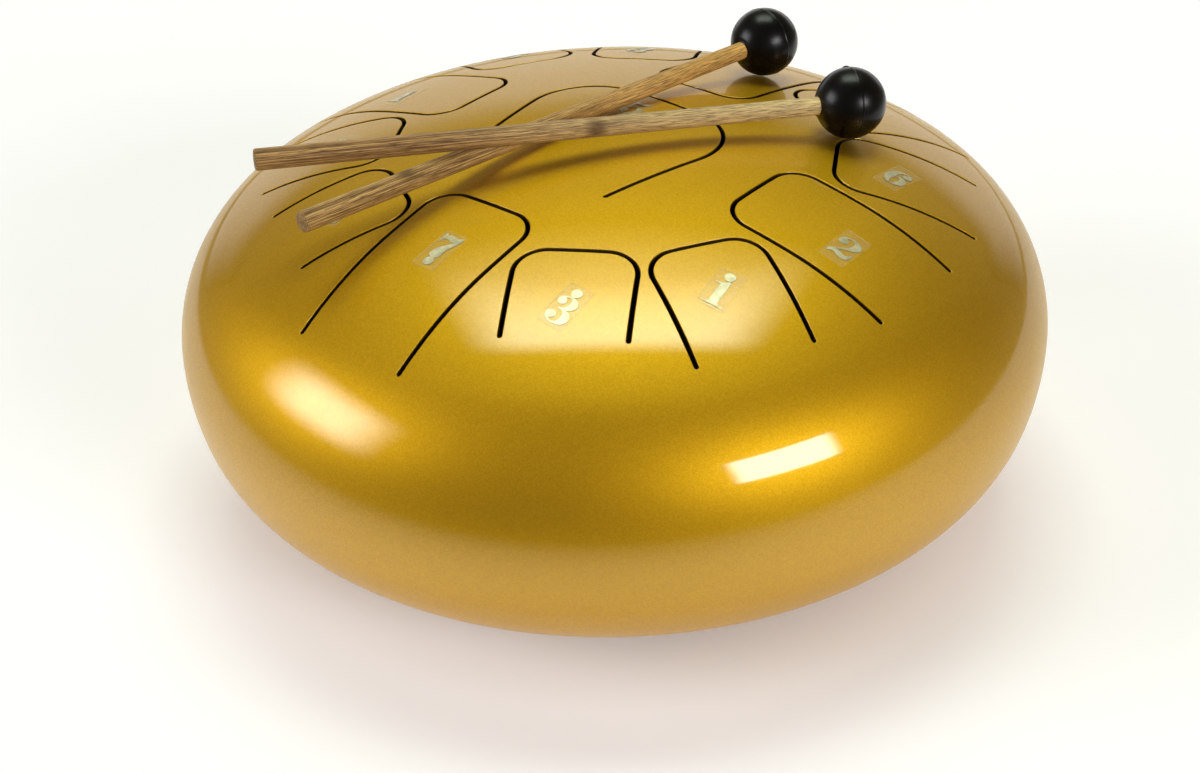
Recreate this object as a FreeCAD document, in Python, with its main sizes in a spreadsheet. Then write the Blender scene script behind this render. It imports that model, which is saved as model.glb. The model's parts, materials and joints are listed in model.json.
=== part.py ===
import FreeCAD, Part
import math
import os
import Sketcher

# Steel tongue drum with thirteen notes and a pair of mallets, in millimetres.
# Frame: +Z up, origin on the drum's axis in the plane that the four feet stand on,
# -Y towards the player, so that the numerals read upright along +Y.

Vector = FreeCAD.Vector
UP = Vector(0, 0, 1)

DIMENSIONS = {
    # drum body: two pressed bowls of revolution, joined at the equator
    "drum_radius": 150.0,
    "sheet_gauge": 1.8,
    "equator_height": 64.0,
    "crown_radius": 376.6,
    "crown_angle": 13.67,
    "blend_radius": 124.8,
    "blend_angle": 32.88,
    "base_angle": 4.0,
    "bilge_radius": 44.2,
    "bilge_angle": 76.5,
    "side_radius": 77.5,
    "sound_hole_radius": 35.0,
    # weld bead that closes the equator
    "weld_width": 1.5,
    "weld_depth": 2.1,
    "weld_clearance": 0.05,
    # laser-cut slots round the tongues
    "slot_width": 1.5,
    "root_gap": 0.05,
    "ring_corner": 10.0,
    "centre_corner": 22.2,
    "centre_flare": 10.4,
    # film stickers with the note numerals
    "film_width": 9.0,
    "film_length": 17.0,
    "film_lift": 0.02,
    "film_gauge": 0.12,
    # rubber feet and their fasteners
    "foot_circle": 92.0,
    "foot_top_radius": 11.0,
    "foot_base_radius": 9.5,
    "foot_taper_height": 9.5,
    "foot_clearance": 0.05,
    "recess_radius": 5.0,
    "recess_depth": 4.5,
    "screw_radius": 2.0,
    "screw_hole_radius": 2.2,
    "screw_head_radius": 3.9,
    "screw_head_height": 2.6,
    "screw_length": 14.0,
    "driver_slot_width": 0.9,
    "driver_slot_length": 4.4,
    "driver_slot_depth": 1.6,
    "nut_corner_radius": 4.04,
    "nut_hole_radius": 2.06,
    "nut_thickness": 3.2,
    # mallets
    "head_radius": 12.1,
    "head_bore_radius": 3.2,
    "tenon_depth": 6.0,
    "neck_radius": 3.1,
    "butt_radius": 3.55,
    "butt_chamfer": 0.6,
    "handle_reach": 199.3,
    "vent_base_radius": 1.4,
    "vent_tip_radius": 0.8,
    "vent_height": 0.5,
    "vent_sink": 0.3,
    "rest_gap": 0.25,
    "lower_mallet_x": 5.5,
    "lower_mallet_y": 82.0,
    "lower_mallet_yaw": -99.74,
    "lower_mallet_roll": 100.0,
    "upper_mallet_x": 59.4,
    "upper_mallet_y": 55.5,
    "upper_mallet_yaw": -125.24,
    "upper_mallet_roll": 32.0,
}

# Each tongue: azimuth of its root from +X, distance of the root from the drum's axis,
# free length, width at the root, then its numeral sticker: place (x, y) and turn.
# A tongue points from its root towards the axis; the centre one passes over it.
CENTRE = "low_5"
TONGUES = {
    CENTRE: (266.7, 34.9, 64.0, 60.0, -2.0, 15.0, 0.0),
    "low_6": (90.0, 124.0, 76.4, 40.0, -2.0, 96.0, 0.0),
    "low_7": (270.0, 125.8, 66.4, 41.0, 1.0, -85.0, 0.0),
    "mid_1": (180.0, 122.0, 64.3, 38.5, -91.3, -5.0, 0.0),
    "mid_2": (0.0, 121.0, 60.3, 40.0, 97.6, -4.5, 0.0),
    "mid_3": (120.0, 129.0, 54.6, 38.0, -48.0, 78.0, 0.0),
    "mid_4": (60.0, 127.2, 52.6, 38.5, 49.0, 86.0, 0.0),
    "mid_5": (150.0, 129.0, 47.8, 38.0, -87.0, 51.0, 0.0),
    "mid_6": (30.0, 122.3, 46.3, 38.5, 85.0, 45.6, 0.0),
    "mid_7": (210.0, 116.5, 43.0, 38.5, -82.0, -48.0, 0.0),
    "high_1": (330.0, 118.6, 42.9, 38.0, 82.6, -48.8, 9.0),
    "high_2": (240.0, 111.8, 38.5, 38.0, -46.5, -80.5, 0.0),
    "high_3": (301.6, 108.7, 34.9, 38.5, 50.7, -83.8, 2.0),
}
TONGUE_FIELDS = ("azimuth", "root", "length", "width", "label_x", "label_y", "label_turn")

FEET = {"rear_right": 45.0, "rear_left": 135.0, "front_left": 225.0, "front_right": 315.0}

CUT_HEIGHT = 90.0  # reach of the upright cutting prisms, above the crown
DISC_MARGIN = 5.0  # how far cutting discs pass the sheet they cut

doc = FreeCAD.newDocument("tongue_drum")


def make_sheet():
    """Write every driving dimension into one spreadsheet, one alias a row."""
    sheet = doc.addObject("Spreadsheet::Sheet", "Sizes")
    values = dict(DIMENSIONS)
    for key, row in TONGUES.items():
        for field, value in zip(TONGUE_FIELDS, row):
            values[f"{key}_{field}"] = value
    for row, (alias, value) in enumerate(values.items(), start=1):
        sheet.set(f"A{row}", alias)
        sheet.set(f"B{row}", str(value))
        sheet.setAlias(f"B{row}", alias)
    doc.recompute()
    return values


SIZE = make_sheet()


def bind(item, **expressions):
    """Bind properties of an object to expressions in the sheet's aliases."""
    for name, expression in expressions.items():
        item.setExpression(name, expression)
    return item


def cell(alias):
    return f"Sizes.{alias}"


def origin_plane(body, role):
    return next(item for item in body.Origin.OriginFeatures if item.Role == role)


def new_sketch(body, role):
    sketch = body.newObject("Sketcher::SketchObject", body.Name + "_sketch")
    sketch.AttachmentSupport = [(origin_plane(body, role), "")]
    sketch.MapMode = "FlatFace"
    return sketch


def drive(sketch, name, expression, *constraint):
    """Add a dimension constraint and bind it to an expression."""
    index = sketch.addConstraint(Sketcher.Constraint(*constraint))
    sketch.renameConstraint(index, name)
    sketch.setExpression("Constraints." + name, expression)


def arc(centre, radius, start, end):
    circle = Part.Circle(Vector(centre[0], centre[1], 0), UP, radius)
    return Part.ArcOfCircle(circle, math.radians(start), math.radians(end))


def segment(first, last):
    return Part.LineSegment(Vector(first[0], first[1], 0), Vector(last[0], last[1], 0))


# --- Pressed bowls -----------------------------------------------------------

class Bowl:
    """Three tangent arcs from the pole to the equator; one radius follows from the others."""

    def __init__(self, radii, angles):
        self.aliases = radii
        self.angle_aliases = angles
        self.angles = [SIZE[alias] for alias in angles]
        first, second = (math.sin(math.radians(angle)) for angle in self.angles)
        spans = (first, second - first, 1 - second)
        known = sum(SIZE[alias] * span for alias, span in zip(radii, spans) if alias)
        free = radii.index(None)
        self.radii = [SIZE[alias] if alias else 0.0 for alias in radii]
        self.radii[free] = (SIZE["drum_radius"] - known) / spans[free]

    def centres(self):
        """Centres of the pole, middle and equator arcs, as (radius, height over the equator)."""
        pole, middle, rim = self.radii
        first, second = (math.radians(angle) for angle in self.angles)
        rim_centre = (SIZE["drum_radius"] - rim, 0.0)
        middle_centre = (rim_centre[0] - (middle - rim) * math.sin(second),
                         -(middle - rim) * math.cos(second))
        pole_centre = (0.0, middle_centre[1] - (pole - middle) * math.cos(first))
        return pole_centre, middle_centre, rim_centre

    def pole_arc_height(self, distance, offset=0.0):
        """Height over the equator of the pole arc, offset outwards, at a distance from the axis."""
        radius = self.radii[0] + offset
        return self.centres()[0][1] + math.sqrt(radius ** 2 - distance ** 2)


UPPER = Bowl(("crown_radius", "blend_radius", None), ("crown_angle", "blend_angle"))
LOWER = Bowl((None, "bilge_radius", "side_radius"), ("base_angle", "bilge_angle"))


def bowl_solid(name, bowl, offset, lift=0.0):
    """Solid of revolution under the bowl's outer face, moved along its normal by an offset."""
    body = doc.addObject("PartDesign::Body", name)
    sketch = new_sketch(body, "XZ_Plane")
    pole_angle, middle_angle = (90 - angle for angle in bowl.angles)
    pole, middle, rim = (radius + lift for radius in bowl.radii)
    pole_centre, middle_centre, rim_centre = bowl.centres()
    apex = (0.0, pole_centre[1] + pole)
    sketch.addGeometry([
        arc(pole_centre, pole, pole_angle, 90),
        arc(middle_centre, middle, middle_angle, pole_angle),
        arc(rim_centre, rim, 0, middle_angle),
        segment(apex, (0, 0)),
        segment((0, 0), (rim_centre[0] + rim, 0)),
    ])
    for constraint in (
        ("Tangent", 0, 1, 1, 2),
        ("Tangent", 1, 1, 2, 2),
        ("Coincident", 2, 1, 4, 2),
        ("Coincident", 4, 1, 3, 2),
        ("Coincident", 3, 1, 0, 2),
        ("Coincident", 3, 2, -1, 1),
        ("Vertical", 3),
        ("Horizontal", 4),
        ("PointOnObject", 0, 3, -2),
        ("PointOnObject", 2, 3, -1),
    ):
        sketch.addConstraint(Sketcher.Constraint(*constraint))
    equator = SIZE["drum_radius"] + lift
    drive(sketch, "equator", f"{cell('drum_radius')} + {offset}", "DistanceX", -1, 1, 2, 1, equator)
    first, second = bowl.angle_aliases
    drive(sketch, "pole_sweep", f"{cell(first)} * 1 deg",
          "Angle", 0, math.radians(bowl.angles[0]))
    drive(sketch, "middle_sweep", f"({cell(second)} - {cell(first)}) * 1 deg",
          "Angle", 1, math.radians(bowl.angles[1] - bowl.angles[0]))
    for index, alias in enumerate(bowl.aliases):
        if alias:
            drive(sketch, f"radius_{index}", f"{cell(alias)} + {offset}",
                  "Radius", index, bowl.radii[index] + lift)
    turn = body.newObject("PartDesign::Revolution", name + "_turn")
    turn.Profile = sketch
    turn.ReferenceAxis = (sketch, ["V_Axis"])
    turn.Angle = 360
    flip = 180 if bowl is LOWER else 0
    body.Placement = FreeCAD.Placement(Vector(), FreeCAD.Rotation(Vector(1, 0, 0), flip))
    body.setExpression("Placement.Base.z", cell("equator_height"))
    return body


def boolean(kind, name, base, tool):
    item = doc.addObject("Part::" + kind, name)
    item.Base = base
    item.Tool = tool
    return item


def gather(kind, name, shapes):
    item = doc.addObject("Part::" + kind, name)
    setattr(item, "Links" if kind == "Compound" else "Shapes", shapes)
    return item


def skin(name, bowl, outer, inner, outer_lift, inner_lift):
    """The sheet between two offsets of a bowl."""
    outside = bowl_solid(name + "_outside", bowl, outer, outer_lift)
    inside = bowl_solid(name + "_inside", bowl, inner, inner_lift)
    return boolean("Cut", name, outside, inside)


def cylinder(name, radius, height):
    return bind(doc.addObject("Part::Cylinder", name), Radius=radius, Height=height)


def weld_band(name, clearance):
    """Disc across the equator, as tall as the weld bead and its clearance."""
    width = f"({cell('weld_width')} + 2 * {clearance})"
    disc = cylinder(name, f"{cell('drum_radius')} + {DISC_MARGIN}", width)
    disc.setExpression("Placement.Base.z", f"{cell('equator_height')} - {width} / 2")
    return disc


# --- Tongues -----------------------------------------------------------------

def tongue_prism(name, key, side, root_gap):
    """Upright prism over a tongue's outline, grown by half a slot (side +1) or shrunk (-1)."""
    body = doc.addObject("PartDesign::Body", name)
    sketch = new_sketch(body, "XY_Plane")
    _, _, length, width = TONGUES[key][:4]
    is_centre = key == CENTRE
    corner_alias = "centre_corner" if is_centre else "ring_corner"
    flare = math.radians(SIZE["centre_flare"]) if is_centre else 0.0
    grow = side * SIZE["slot_width"] / 2
    start = SIZE["root_gap"] if root_gap else 0.0
    half_root = width / 2 + grow / math.cos(flare) + start * math.tan(flare)
    radius = SIZE[corner_alias] + grow
    tip = length + grow
    centre_x = tip - radius
    centre_y = half_root + (centre_x - start) * math.tan(flare) - radius / math.cos(flare)
    touch_x = centre_x - radius * math.sin(flare)
    touch_y = centre_y + radius * math.cos(flare)
    sweep = 90 + math.degrees(flare)
    sketch.addGeometry([
        segment((tip, -centre_y), (tip, centre_y)),
        arc((centre_x, centre_y), radius, 0, sweep),
        segment((touch_x, touch_y), (start, half_root)),
        segment((start, half_root), (start, -half_root)),
        segment((start, -half_root), (touch_x, -touch_y)),
        arc((centre_x, -centre_y), radius, -sweep, 0),
    ])
    for constraint in (
        ("Tangent", 0, 2, 1, 1),
        ("Tangent", 1, 2, 2, 1),
        ("Coincident", 2, 2, 3, 1),
        ("Coincident", 3, 2, 4, 1),
        ("Tangent", 4, 2, 5, 1),
        ("Tangent", 5, 2, 0, 1),
        ("Symmetric", 3, 1, 3, 2, -1),
        ("Symmetric", 0, 1, 0, 2, -1),
        ("Equal", 1, 5),
    ):
        sketch.addConstraint(Sketcher.Constraint(*constraint))
    half_slot = f"{side} * {cell('slot_width')} / 2"
    drive(sketch, "corner", f"{cell(corner_alias)} + {half_slot}", "Radius", 1, radius)
    drive(sketch, "tip", f"{cell(key + '_length')} + {half_slot}", "DistanceX", -1, 1, 0, 1, tip)
    root_width = f"{cell(key + '_width')} + 2 * {half_slot}"
    if is_centre:
        angle = f"{cell('centre_flare')} * 1 deg"
        drive(sketch, "flare", angle, "Angle", -1, 1, 2, 2, flare)
        slope = f"({cell('centre_flare')} * 1 deg)"
        root_width = (f"{cell(key + '_width')} + 2 * {half_slot} / cos{slope}"
                      + (f" + 2 * {cell('root_gap')} * tan{slope}" if root_gap else ""))
    else:
        sketch.addConstraint(Sketcher.Constraint("Horizontal", 2))
    drive(sketch, "root_width", root_width, "DistanceY", 3, 2, 3, 1, 2 * half_root)
    if root_gap:
        drive(sketch, "root", cell("root_gap"), "DistanceX", -1, 1, 3, 1, start)
    else:
        sketch.addConstraint(Sketcher.Constraint("PointOnObject", 3, 1, -2))
    pad = body.newObject("PartDesign::Pad", name + "_pad")
    pad.Profile = sketch
    pad.Length = CUT_HEIGHT
    return place_on_root(body, key, 0.0)


def place_on_root(item, key, across):
    """Put an object's origin on a tongue's root, its +X along the tongue to the tip."""
    azimuth = math.radians(SIZE[key + "_azimuth"])
    root = SIZE[key + "_root"]
    turn = FreeCAD.Rotation(UP, SIZE[key + "_azimuth"] + 180)
    base = Vector(root * math.cos(azimuth), root * math.sin(azimuth), SIZE["equator_height"])
    item.Placement = FreeCAD.Placement(base + turn.multVec(Vector(0, across, 0)), turn)
    angle = f"({cell(key + '_azimuth')} * 1 deg)"
    root_cell = cell(key + "_root")
    side = f"({across / SIZE[key + '_width']} * {cell(key + '_width')})"
    return bind(item, **{
        "Placement.Base.x": f"{root_cell} * cos{angle} + {side} * sin{angle}",
        "Placement.Base.y": f"{root_cell} * sin{angle} - {side} * cos{angle}",
        "Placement.Base.z": cell("equator_height"),
        "Placement.Rotation.Angle": f"{cell(key + '_azimuth')} + 180",
    })


def slot_end(name, key, side):
    """Round end of one of a tongue's two slots, at its root."""
    end = cylinder(name, f"{cell('slot_width')} / 2", str(CUT_HEIGHT))
    return place_on_root(end, key, side * SIZE[key + "_width"] / 2)


def label_film(key):
    """Rectangular film sticker that follows the drum's face."""
    window = bind(doc.addObject("Part::Box", "film_window_" + key),
                  Length=cell("film_width"), Width=cell("film_length"), Height=str(CUT_HEIGHT))
    corner = Vector(-SIZE["film_width"] / 2, -SIZE["film_length"] / 2, SIZE["equator_height"])
    turn = FreeCAD.Rotation(UP, SIZE[key + "_label_turn"])
    spot = Vector(SIZE[key + "_label_x"], SIZE[key + "_label_y"], 0)
    window.Placement = FreeCAD.Placement(spot + turn.multVec(corner), turn)
    return boolean("Common", "label_" + key, FILM_SKIN, window)


# --- Feet --------------------------------------------------------------------

def foot_spot(azimuth):
    angle = math.radians(azimuth)
    return SIZE["foot_circle"] * math.cos(angle), SIZE["foot_circle"] * math.sin(angle)


def at_foot(item, azimuth, height=0.0):
    """Stand an object on a foot's axis, its base at a height over the ground."""
    across, along = foot_spot(azimuth)
    item.Placement = FreeCAD.Placement(Vector(across, along, height), FreeCAD.Rotation())
    return item


def base_height(distance, inwards=0.0):
    """Height over the ground of the drum's base at a distance from its axis."""
    return SIZE["equator_height"] - LOWER.pole_arc_height(distance, -inwards)


def make_foot(name, azimuth, outside):
    """Tapered rubber foot, hollowed for the screw and cut to the drum's base."""
    taper = bind(doc.addObject("Part::Cone", name + "_taper"), Radius1=cell("foot_base_radius"),
                 Radius2=cell("foot_top_radius"), Height=cell("foot_taper_height"))
    collar = cylinder(name + "_collar", cell("foot_top_radius"), str(DISC_MARGIN))
    recess = cylinder(name + "_recess", cell("recess_radius"), cell("recess_depth"))
    hole = cylinder(name + "_hole", cell("screw_hole_radius"), str(CUT_HEIGHT))
    for item in (taper, recess, hole):
        at_foot(item, azimuth)
    at_foot(collar, azimuth, SIZE["foot_taper_height"])
    block = gather("MultiFuse", name + "_block", [taper, collar])
    cutter = gather("MultiFuse", name + "_cutter", [recess, hole])
    pierced = boolean("Cut", name + "_pierced", block, cutter)
    return boolean("Cut", name, pierced, outside)


def make_screw(name, azimuth):
    """Pan-head screw, head down in the foot's recess, with a cross recess for the driver."""
    top = SIZE["recess_depth"] - SIZE["foot_clearance"]
    bottom = top - SIZE["screw_head_height"]
    head = cylinder(name + "_head", cell("screw_head_radius"), cell("screw_head_height"))
    shank = cylinder(name + "_shank", cell("screw_radius"),
                     f"{cell('screw_head_height')} + {cell('screw_length')}")
    solid = gather("MultiFuse", name + "_solid", [at_foot(head, azimuth, bottom),
                                                  at_foot(shank, azimuth, bottom)])
    slots = []
    for index, (across, along) in enumerate((("length", "width"), ("width", "length"))):
        slot = bind(doc.addObject("Part::Box", f"{name}_slot_{index}"),
                    Length=cell("driver_slot_" + across), Width=cell("driver_slot_" + along),
                    Height=cell("driver_slot_depth"))
        spot = foot_spot(azimuth)
        corner = Vector(spot[0] - SIZE["driver_slot_" + across] / 2,
                        spot[1] - SIZE["driver_slot_" + along] / 2, bottom)
        slot.Placement = FreeCAD.Placement(corner, FreeCAD.Rotation())
        slots.append(slot)
    return boolean("Cut", name, solid, gather("MultiFuse", name + "_slots", slots))


def make_nut(name, azimuth):
    """Hexagon nut that sits on the inside of the drum's base."""
    prism = bind(doc.addObject("Part::Prism", name + "_prism"),
                 Circumradius=cell("nut_corner_radius"), Height=cell("nut_thickness"))
    prism.Polygon = 6
    hole = cylinder(name + "_hole", cell("nut_hole_radius"), cell("nut_thickness"))
    outer_edge = SIZE["foot_circle"] + SIZE["nut_corner_radius"]
    seat = base_height(outer_edge, SIZE["sheet_gauge"]) + SIZE["foot_clearance"]
    return boolean("Cut", name, at_foot(prism, azimuth, seat), at_foot(hole, azimuth, seat))


# --- Mallets -----------------------------------------------------------------

def crown_centre():
    return Vector(0, 0, SIZE["equator_height"] + UPPER.centres()[0][1])


def head_on_crown(prefix):
    """Centre of a mallet head that rests on the crown at its x and y."""
    across, along = SIZE[prefix + "_x"], SIZE[prefix + "_y"]
    reach = SIZE["crown_radius"] + SIZE["head_radius"] + SIZE["rest_gap"]
    rise = math.sqrt(reach ** 2 - across ** 2 - along ** 2)
    return Vector(across, along, crown_centre().z + rise)


def heading(prefix):
    angle = math.radians(SIZE[prefix + "_yaw"])
    return Vector(math.cos(angle), math.sin(angle), 0)


def handle_radius(along):
    """Radius of a handle at a distance from its head's centre."""
    return SIZE["neck_radius"] + (SIZE["butt_radius"] - SIZE["neck_radius"]) * along / SIZE["handle_reach"]


def tilt_on_crown(head, level):
    """Rise angle at which a handle from the head touches the crown, as a tangent line."""
    away = crown_centre() - head
    middle = handle_radius(SIZE["handle_reach"] / 2)
    tangent = SIZE["crown_radius"] + middle + SIZE["rest_gap"]
    reach = math.sqrt(away.Length ** 2 - tangent ** 2)
    ahead = away.dot(level)
    size = math.hypot(ahead, away.z)
    return math.atan2(away.z, ahead) + math.acos(reach / size)


def tilt_over_handle(head, level, other_head, other_level, other_tilt):
    """Rise angle at which a handle rests on another one where they cross in plan."""
    between = other_head - head
    cross = level.x * other_level.y - level.y * other_level.x
    along = (between.x * other_level.y - between.y * other_level.x) / cross
    other_along = (between.x * level.y - between.y * level.x) / cross
    other_height = other_head.z + other_along * math.tan(other_tilt)
    spacing = handle_radius(along) + handle_radius(other_along) + SIZE["rest_gap"]
    return math.atan2(other_height + spacing - head.z, along)


def mallet_placement(head, prefix, tilt):
    """Local +Z runs from the head's centre to the butt; the roll turns local -X away from the top."""
    yaw = FreeCAD.Rotation(UP, SIZE[prefix + "_yaw"])
    pitch = FreeCAD.Rotation(Vector(0, 1, 0), 90 - math.degrees(tilt))
    roll = FreeCAD.Rotation(UP, SIZE[prefix + "_roll"])
    return FreeCAD.Placement(head, yaw * pitch * roll)


def make_mallet(prefix, placement):
    """Wooden handle with a chamfered butt, glued into a bored rubber ball."""
    length = cell("handle_reach")
    chamfer = cell("butt_chamfer")
    shaft = bind(doc.addObject("Part::Cone", prefix + "_shaft"),
                 Radius1=cell("neck_radius"), Radius2=cell("butt_radius"),
                 Height=f"{cell('tenon_depth')} + {length} - {chamfer}")
    shaft.setExpression("Placement.Base.z", f"-{cell('tenon_depth')}")
    butt = bind(doc.addObject("Part::Cone", prefix + "_butt"),
                Radius1=cell("butt_radius"), Radius2=f"{cell('butt_radius')} - {chamfer}",
                Height=chamfer)
    butt.setExpression("Placement.Base.z", f"{length} - {chamfer}")
    handle = gather("MultiFuse", prefix + "_handle", [shaft, butt])
    ball = bind(doc.addObject("Part::Sphere", prefix + "_ball"), Radius=cell("head_radius"))
    sink = cell("vent_sink")
    vent = bind(doc.addObject("Part::Cone", prefix + "_vent"),
                Radius1=cell("vent_base_radius"), Radius2=cell("vent_tip_radius"),
                Height=f"{cell('vent_height')} + {sink}")
    vent.Placement = FreeCAD.Placement(Vector(), FreeCAD.Rotation(Vector(0, 1, 0), -90))
    vent.setExpression("Placement.Base.x", f"{sink} - {cell('head_radius')}")
    bore = cylinder(prefix + "_bore", cell("head_bore_radius"),
                    f"{cell('tenon_depth')} + 2 * {cell('head_radius')}")
    bore.setExpression("Placement.Base.z", f"-{cell('tenon_depth')} - {cell('weld_clearance')}")
    moulding = gather("MultiFuse", prefix + "_moulding", [ball, vent])
    head = boolean("Cut", prefix + "_head", moulding, bore)
    for item in (handle, head):
        item.Placement = placement
    return [handle, head]


# --- Assembly ----------------------------------------------------------------

gauge = cell("sheet_gauge")
lift = cell("film_lift")
film_top = f"({cell('film_lift')} + {cell('film_gauge')})"
UPPER_SKIN = skin("upper_skin", UPPER, "0", f"(-{gauge})", 0.0, -SIZE["sheet_gauge"])
LOWER_SKIN = skin("lower_skin", LOWER, "0", f"(-{gauge})", 0.0, -SIZE["sheet_gauge"])
FILM_SKIN = skin("film_skin", UPPER, film_top, lift,
                 SIZE["film_lift"] + SIZE["film_gauge"], SIZE["film_lift"])
nodes = []

cutters = [weld_band("upper_seam_cut", cell("weld_clearance"))]
for key in TONGUES:
    cutters.append(tongue_prism("window_" + key, key, 1, False))
    for side in (-1, 1):
        label = "left" if side < 0 else "right"
        cutters.append(slot_end(f"slot_end_{label}_{key}", key, side))
    blank = tongue_prism("blank_" + key, key, -1, True)
    nodes.append(boolean("Common", "tongue_" + key, UPPER_SKIN, blank))
    nodes.append(label_film(key))
nodes.append(boolean("Cut", "upper_shell", UPPER_SKIN, gather("MultiFuse", "slot_cutter", cutters)))

base_cutters = [weld_band("lower_seam_cut", cell("weld_clearance")),
                cylinder("sound_hole", cell("sound_hole_radius"), cell("equator_height"))]
foot_outside = bowl_solid("foot_outside", LOWER, cell("foot_clearance"), SIZE["foot_clearance"])
screws = []
nuts = []
for corner, azimuth in FEET.items():
    hole = cylinder("screw_hole_" + corner, cell("screw_hole_radius"), cell("equator_height"))
    base_cutters.append(at_foot(hole, azimuth))
    nodes.append(make_foot("foot_" + corner, azimuth, foot_outside))
    screws.append(make_screw("screw_" + corner, azimuth))
    nuts.append(make_nut("nut_" + corner, azimuth))
nodes.append(gather("Compound", "foot_screws", screws))
nodes.append(gather("Compound", "foot_nuts", nuts))
nodes.append(boolean("Cut", "lower_shell", LOWER_SKIN, gather("MultiFuse", "base_cutter", base_cutters)))

weld_outside = weld_band("weld_outside", "0")
weld_outside.setExpression("Radius", cell("drum_radius"))
weld_inside = weld_band("weld_inside", "0")
weld_inside.setExpression("Radius", f"{cell('drum_radius')} - {cell('weld_depth')}")
nodes.append(boolean("Cut", "seam_weld", weld_outside, weld_inside))

lower_head = head_on_crown("lower_mallet")
lower_tilt = tilt_on_crown(lower_head, heading("lower_mallet"))
upper_head = head_on_crown("upper_mallet")
upper_tilt = tilt_over_handle(upper_head, heading("upper_mallet"),
                              lower_head, heading("lower_mallet"), lower_tilt)
nodes += make_mallet("lower_mallet", mallet_placement(lower_head, "lower_mallet", lower_tilt))
nodes += make_mallet("upper_mallet", mallet_placement(upper_head, "upper_mallet", upper_tilt))

doc.recompute()
for item in doc.Objects:
    if "Invalid" in item.State or "Error" in item.State:
        raise RuntimeError(f"{item.Label} failed to build: {item.State}")
for node in nodes:
    if node.Shape.isNull() or not node.Shape.isValid():
        raise RuntimeError(f"{node.Label} has no valid shape")

os.makedirs("parts", exist_ok=True)
for node in nodes:
    node.Shape.exportStep(f"parts/{node.Label}.step")
    print(node.Label, len(node.Shape.Solids), round(node.Shape.Volume, 1))
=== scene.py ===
import json
import math

import bpy
import numpy as np
from mathutils import Matrix, Vector, noise
from mathutils.geometry import delaunay_2d_cdt
from mathutils.kdtree import KDTree


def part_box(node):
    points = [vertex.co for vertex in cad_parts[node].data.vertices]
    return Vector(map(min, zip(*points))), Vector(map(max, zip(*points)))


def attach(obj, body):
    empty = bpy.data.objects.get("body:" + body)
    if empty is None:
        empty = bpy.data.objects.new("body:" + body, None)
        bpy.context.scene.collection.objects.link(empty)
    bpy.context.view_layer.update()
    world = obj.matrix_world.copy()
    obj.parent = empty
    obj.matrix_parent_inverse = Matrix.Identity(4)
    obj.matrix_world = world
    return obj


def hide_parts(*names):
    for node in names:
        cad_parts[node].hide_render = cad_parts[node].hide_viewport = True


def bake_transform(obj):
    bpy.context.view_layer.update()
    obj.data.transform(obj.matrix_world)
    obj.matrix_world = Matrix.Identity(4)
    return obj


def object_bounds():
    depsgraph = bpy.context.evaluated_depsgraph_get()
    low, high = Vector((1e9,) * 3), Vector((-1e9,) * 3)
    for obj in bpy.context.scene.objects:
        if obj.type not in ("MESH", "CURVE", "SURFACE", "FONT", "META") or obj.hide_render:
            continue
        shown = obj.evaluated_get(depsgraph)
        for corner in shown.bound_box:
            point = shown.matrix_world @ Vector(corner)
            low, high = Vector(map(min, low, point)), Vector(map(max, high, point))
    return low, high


# Looks of a thirteen-note steel tongue drum with two mallets lying on it, in metres.
# Frame: +Z up, origin on the drum's axis on the ground, -Y towards the player.

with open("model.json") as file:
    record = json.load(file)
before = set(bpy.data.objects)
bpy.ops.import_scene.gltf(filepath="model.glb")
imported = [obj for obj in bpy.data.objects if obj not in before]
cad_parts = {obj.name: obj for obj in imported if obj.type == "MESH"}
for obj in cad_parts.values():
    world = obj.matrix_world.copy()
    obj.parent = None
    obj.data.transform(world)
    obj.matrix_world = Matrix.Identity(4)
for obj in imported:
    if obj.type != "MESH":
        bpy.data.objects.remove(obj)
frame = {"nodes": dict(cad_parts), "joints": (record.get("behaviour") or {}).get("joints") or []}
cad_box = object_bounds()
JOINTS = {joint["name"]: joint for joint in frame["joints"]}
CENTRE = "low_5"
KEYS = [name.removeprefix("flex_") for name in JOINTS if name.startswith("flex_")]


def node_points(node):
    """Distinct vertices of a CAD node."""
    points = np.array([vertex.co for vertex in frame["nodes"][node].data.vertices])
    return np.unique(points.round(7), axis=0)


def corners(node):
    """Lowest and highest corner of a CAD node's box."""
    low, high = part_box(node)
    return np.array(low), np.array(high)


# --- Sizes -------------------------------------------------------------------

weld_low, weld_high = corners("seam_weld")
DRUM_RADIUS = (weld_high[0] - weld_low[0]) / 2
EQUATOR = (weld_high[2] + weld_low[2]) / 2
SHEET_GAUGE = 0.0018
EDGE_BREAK = 0.00025
EDGE_ANGLES = (30, 60, 90)

# arcs of the two bowls from pole to equator: radius, angle where each one ends;
# the radius that is None closes the bowl at the drum's radius
UPPER_ARCS = ((0.3766, 13.67), (0.1248, 32.88), (None, 90.0))
LOWER_ARCS = ((None, 4.0), (0.0442, 76.5), (0.0775, 90.0))
SOUND_HOLE_RADIUS = 0.035
SCREW_HOLE_RADIUS = 0.0022
FEET = ("foot_rear_right", "foot_rear_left", "foot_front_left", "foot_front_right")

SLOT_WIDTH = 0.0015
RING_CORNER = 0.010
CENTRE_CORNER = 0.0222
CENTRE_FLARE = math.radians(10.4)

FILM_LIFT = 0.00014
FILM_GAUGE = 0.00012
FILM_CORNER = 0.0006
FILM_BREAK = FILM_GAUGE / 3
FOIL_GAUGE = 0.00003
NUMERAL_SIZE = np.array([0.0122, 0.0109])
DOT_RADIUS = 0.0018
DOT_GAP = 0.0001
DOT_SEGMENTS = 28

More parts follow.
